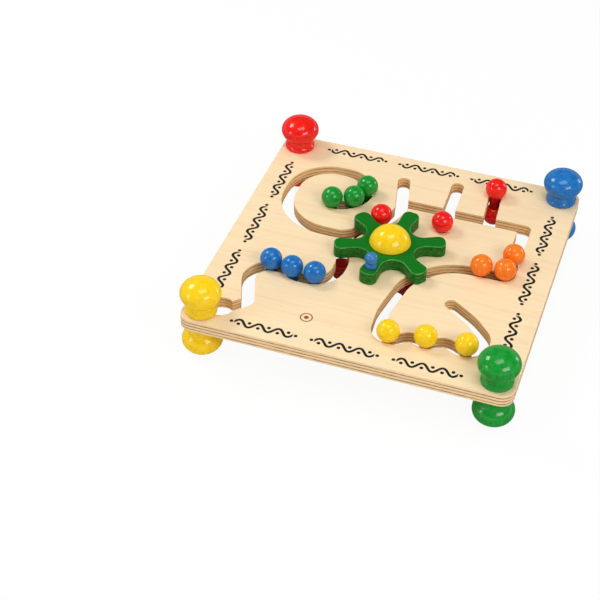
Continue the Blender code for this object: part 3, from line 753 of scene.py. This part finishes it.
def wheel_form(bottom, top, low_rounding, high_rounding):
    """A wheel as rings of its outline, from one edge of its middle hole round to the other."""
    outline = wheel_outline()
    bore = AXLE_RADIUS + GAP
    hole = [point.normalized() * bore for point in outline]
    rings = [(hole, bottom)]
    for edge, way, rounding in ((bottom, 1, low_rounding), (top, -1, high_rounding)):
        for i in range(WHEEL_EDGE_STEPS + 1):
            angle = math.pi / 2 * i / WHEEL_EDGE_STEPS
            angle = math.pi / 2 - angle if edge == bottom else angle
            distance = rounding * (1 - math.cos(angle))
            rise = rounding * (1 - math.sin(angle))
            rings.append((inset(outline, distance), edge + way * rise))
    rings.append((hole, top))

    form = bmesh.new()
    loops = [[form.verts.new((*point, height)) for point in ring] for ring, height in rings]
    for lower, upper in zip(loops, loops[1:] + loops[:1]):
        for i in range(len(outline)):
            form.faces.new((lower[i - 1], lower[i], upper[i], upper[i - 1]))
    return form


def build_wheels(paints, green, dark_red, beech):
    """Everything that turns together on the axle."""
    outer, inner = WHEEL_EDGE_ROUNDING, WHEEL_INNER_ROUNDING
    for node, slot, material, roundings in (
        ("wheel_top", "green_wheel_paint", green, (inner, outer)),
        ("wheel_bottom", "dark_red_paint", dark_red, (outer, inner)),
    ):
        low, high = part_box(node)
        form = wheel_form(low.z, high.z, *roundings)
        finished(node + "_sawn", form, "wheel", material, [node], sharp=WHEEL_SHARP_ANGLE)

    low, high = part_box("axle_peg")
    head_top = low.z + AXLE_HEAD_HEIGHT
    axle = rounded_path([
        (0, low.z, 0),
        (AXLE_HEAD_RADIUS, low.z, AXLE_HEAD_ROUNDING),
        (AXLE_HEAD_RADIUS, head_top, AXLE_HEAD_TOP_ROUNDING),
        (AXLE_RADIUS, head_top, 0),
        (AXLE_RADIUS, high.z, TENON_END_ROUNDING),
        (0, high.z, 0),
    ])
    finished("axle_peg_turned", turned(axle, (0, 0, 0)), "wheel", beech, ["axle_peg"])

    bore = AXLE_RADIUS + GAP
    ball = (DOME_RADIUS**2 + DOME_HEIGHT**2) / (2 * DOME_HEIGHT)
    foot = -math.degrees(math.asin(1 - DOME_HEIGHT / ball))
    dome = [(0, DOME_BORE_DEPTH), (bore, DOME_BORE_DEPTH), (bore, 0), (DOME_RADIUS - DOME_EDGE, 0)]
    dome += arc(DOME_HEIGHT - ball, ball, ball, DOME_FOOT_ANGLE - foot, 90)
    dome[-1] = (0, DOME_HEIGHT)
    form = turned(dome, (0, 0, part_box("hub_dome")[0].z))
    finished("hub_dome_turned", form, "wheel", paints["yellow"], ["hub_dome"])

    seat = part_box("wheel_top")[1].z
    start = -math.degrees(math.acos(CRANK_WAIST_RADIUS / CRANK_BALL_RADIUS))
    centre = CRANK_HEIGHT - CRANK_BALL_RADIUS
    crank_ball = arc(centre, CRANK_BALL_RADIUS, CRANK_BALL_RADIUS, start, 90)
    flange = rounded_path([
        (0, GAP - CRANK_TENON_DEPTH, 0),
        (CRANK_TENON_RADIUS, GAP - CRANK_TENON_DEPTH, PEG_END_ROUNDING),
        (CRANK_TENON_RADIUS, GAP, 0),
        (CRANK_FLANGE_RADIUS, GAP, CRANK_FOOT_ROUNDING),
        (CRANK_FLANGE_RADIUS, CRANK_FLANGE_HEIGHT, CRANK_FLANGE_ROUNDING),
        (crank_ball[0].x, crank_ball[0].y, 0),
    ])
    crank_ball[-1] = Vector((0, CRANK_HEIGHT))
    form = turned(flange[:-1] + crank_ball, middle_of("crank_peg", seat))
    finished("crank_peg_turned", form, "wheel", paints["pale_blue"], ["crank_peg"])


def ball_profile():
    """Half a bead's ball, with the blind hole for the stem at its foot and its middle at zero."""
    bore = STEM_RADIUS + GAP
    start = -math.degrees(math.acos(bore / BEAD_RADIUS))
    mouth = -math.sqrt(BEAD_RADIUS**2 - bore**2)
    roof = mouth + STEM_BORE_DEPTH
    profile = [Vector((0, roof)), Vector((bore, roof))]
    profile += arc(0, BEAD_RADIUS, BEAD_RADIUS, start, 90)
    profile[-1] = Vector((0, BEAD_RADIUS))
    return profile


def build_beads(paints, shaded_pins):
    """Fifteen beads: a ball above the board, one below it and the pin that joins them."""
    above = ball_profile()
    below = [Vector((radius, -height)) for radius, height in above]
    shoulder = math.sqrt(BEAD_RADIUS**2 - STEM_SHANK_RADIUS**2) - STEM_SHOULDER_GAP
    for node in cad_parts:
        if not node.endswith("_top_ball"):
            continue
        bead = node.removesuffix("_top_ball")
        colour = bead.split("_")[1]
        top = middle_of(node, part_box(node)[1].z - BEAD_RADIUS)
        low_node = bead + "_bottom_ball"
        bottom = middle_of(low_node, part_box(low_node)[0].z + BEAD_RADIUS)
        paint = paints[colour]
        finished(node + "_turned", turned(above, top), bead, paint, [node])
        finished(low_node + "_turned", turned(below, bottom), bead, paint, [low_node])
        low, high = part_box(bead + "_stem")
        stem = rounded_path([
            (0, low.z, 0),
            (STEM_RADIUS, low.z, PEG_END_ROUNDING),
            (STEM_RADIUS, bottom.z + shoulder, 0),
            (STEM_SHANK_RADIUS, bottom.z + shoulder, STEM_SHANK_ROUNDING),
            (STEM_SHANK_RADIUS, top.z - shoulder, STEM_SHANK_ROUNDING),
            (STEM_RADIUS, top.z - shoulder, 0),
            (STEM_RADIUS, high.z, PEG_END_ROUNDING),
            (0, high.z, 0),
        ])
        form = turned(stem, Vector((top.x, top.y, 0)))
        finished(bead + "_stem_turned", form, bead, shaded_pins[colour], [bead + "_stem"])


def camera_axes():
    """The camera's right, its up and the way back to it, as the photograph was taken."""
    azimuth, elevation = math.radians(CAMERA_AZIMUTH), math.radians(CAMERA_ELEVATION)
    roll = math.radians(CAMERA_ROLL)
    level = math.cos(elevation)
    back = Vector((math.sin(azimuth) * level, -math.cos(azimuth) * level, math.sin(elevation)))
    flat_right = Vector((0, 0, 1)).cross(back).normalized()
    flat_up = back.cross(flat_right)
    right = math.cos(roll) * flat_right + math.sin(roll) * flat_up
    up = math.cos(roll) * flat_up - math.sin(roll) * flat_right
    return right, up, back


def build_camera():
    right, up, back = camera_axes()
    data = bpy.data.cameras.new("camera")
    data.lens = CAMERA_LENS
    data.sensor_width = SENSOR_WIDTH
    camera = bpy.data.objects.new("camera", data)
    bpy.context.scene.collection.objects.link(camera)
    target = Vector((0, 0, BOARD_TOP))
    camera.location = target + back * CAMERA_DISTANCE + right * CAMERA_RIGHT + up * CAMERA_UP
    camera.rotation_euler = Matrix((right, up, back)).transposed().to_euler()
    bpy.context.scene.camera = camera


def build_softbox(name, towards, width, height, watts):
    """A flat lamp, out along a direction given as the camera sees it: right, up and back."""
    right, up, back = camera_axes()
    way = (right * towards[0] + up * towards[1] + back * towards[2]).normalized()
    data = bpy.data.lights.new(name, "AREA")
    data.shape = "RECTANGLE"
    data.size = width
    data.size_y = height
    data.energy = watts
    lamp = bpy.data.objects.new(name, data)
    bpy.context.scene.collection.objects.link(lamp)
    lamp.location = Vector((0, 0, BOARD_TOP)) + way * LAMP_DISTANCE
    lamp.rotation_euler = way.to_track_quat("Z", "Y").to_euler()


def build_world():
    """An even pale sky: white to the camera, and in reflections white low down, dim overhead."""
    world = bpy.data.worlds.new("studio")
    world.use_nodes = True
    tree = world.node_tree
    light = tree.nodes.new("ShaderNodeLightPath").outputs
    mirrored = calc(tree, "MAXIMUM", light["Is Glossy Ray"], light["Is Transmission Ray"])
    direction = tree.nodes.new("ShaderNodeTexCoord").outputs["Generated"]
    low = smooth_step(tree, axes_of(tree, direction)[2], CEILING_END, CEILING_START)
    ceiling = calc(tree, "MULTIPLY_ADD", low, 1 - CEILING_GLOSS, CEILING_GLOSS)
    plain = calc(tree, "MULTIPLY_ADD", light["Is Camera Ray"], 1 - SKY_STRENGTH, SKY_STRENGTH)
    change = calc(tree, "MULTIPLY", calc(tree, "SUBTRACT", ceiling, plain), mirrored)
    strength = calc(tree, "ADD", plain, change)
    background = tree.nodes["Background"]
    background.inputs["Color"].default_value = (1, 1, 1, 1)
    tree.links.new(strength, background.inputs["Strength"])
    bpy.context.scene.world = world


def build_floor():
    """A plain floor, lifted nearly to white for the camera, and dim in the paint's reflections."""
    form = bmesh.new()
    bmesh.ops.create_grid(form, x_segments=1, y_segments=1, size=FLOOR_REACH)
    mesh = bpy.data.meshes.new("floor")
    form.to_mesh(mesh)
    form.free()
    material, tree, shader = new_material("floor_white")
    shader.inputs["Base Color"].default_value = (*FLOOR_WHITE, 1)
    shader.inputs["Roughness"].default_value = FLOOR_ROUGHNESS
    shader.inputs["Specular IOR Level"].default_value = FLOOR_SHINE
    light = tree.nodes.new("ShaderNodeLightPath").outputs
    mirrored = light["Is Glossy Ray"]
    seen = calc(tree, "MAXIMUM", light["Is Camera Ray"], mirrored)
    seen = calc(tree, "MAXIMUM", seen, light["Is Transmission Ray"])
    white = tree.nodes.new("ShaderNodeEmission")
    feed(tree, white.inputs["Strength"], calc(tree, "MULTIPLY_ADD", mirrored, FLOOR_GLOSS - 1, 1))
    blend = tree.nodes.new("ShaderNodeMixShader")
    feed(tree, blend.inputs[0], calc(tree, "MULTIPLY", seen, FLOOR_LIFT))
    tree.links.new(shader.outputs[0], blend.inputs[1])
    tree.links.new(white.outputs[0], blend.inputs[2])
    tree.links.new(blend.outputs[0], tree.nodes["Material Output"].inputs["Surface"])
    mesh.materials.append(material)
    floor = bpy.data.objects.new("floor", mesh)
    bpy.context.scene.collection.objects.link(floor)


def main():
    paints = {name: paint_material(f"{name}_paint", colour) for name, colour in PAINTS.items()}
    # Each bead's pin gets its paint darkened as painted shade.
    shaded_pins = {name: shaded_pin_material(name, PAINTS[name]) for name in PAINTS if name != "pale_blue"}
    green = wheel_material("green_wheel_paint", WHEEL_GREEN, WHEEL_GREEN_THIN, WHEEL_GREEN_GLINT)
    dark_red = wheel_material("dark_red_wheel_paint", WHEEL_RED, WHEEL_RED_THIN, WHEEL_RED_GLINT)
    beech = bare_wood_material("bare_beech", BEECH)
    build_board(board_material(), routed_material())
    build_knobs(paints)
    build_wheels(paints, green, dark_red, beech)
    build_beads(paints, shaded_pins)
    build_camera()
    for name, (towards, width, height, watts) in SOFTBOXES.items():
        build_softbox(name, towards, width, height, watts)
    build_world()
    build_floor()
    bpy.context.scene.view_settings.view_transform = "Standard"


main()
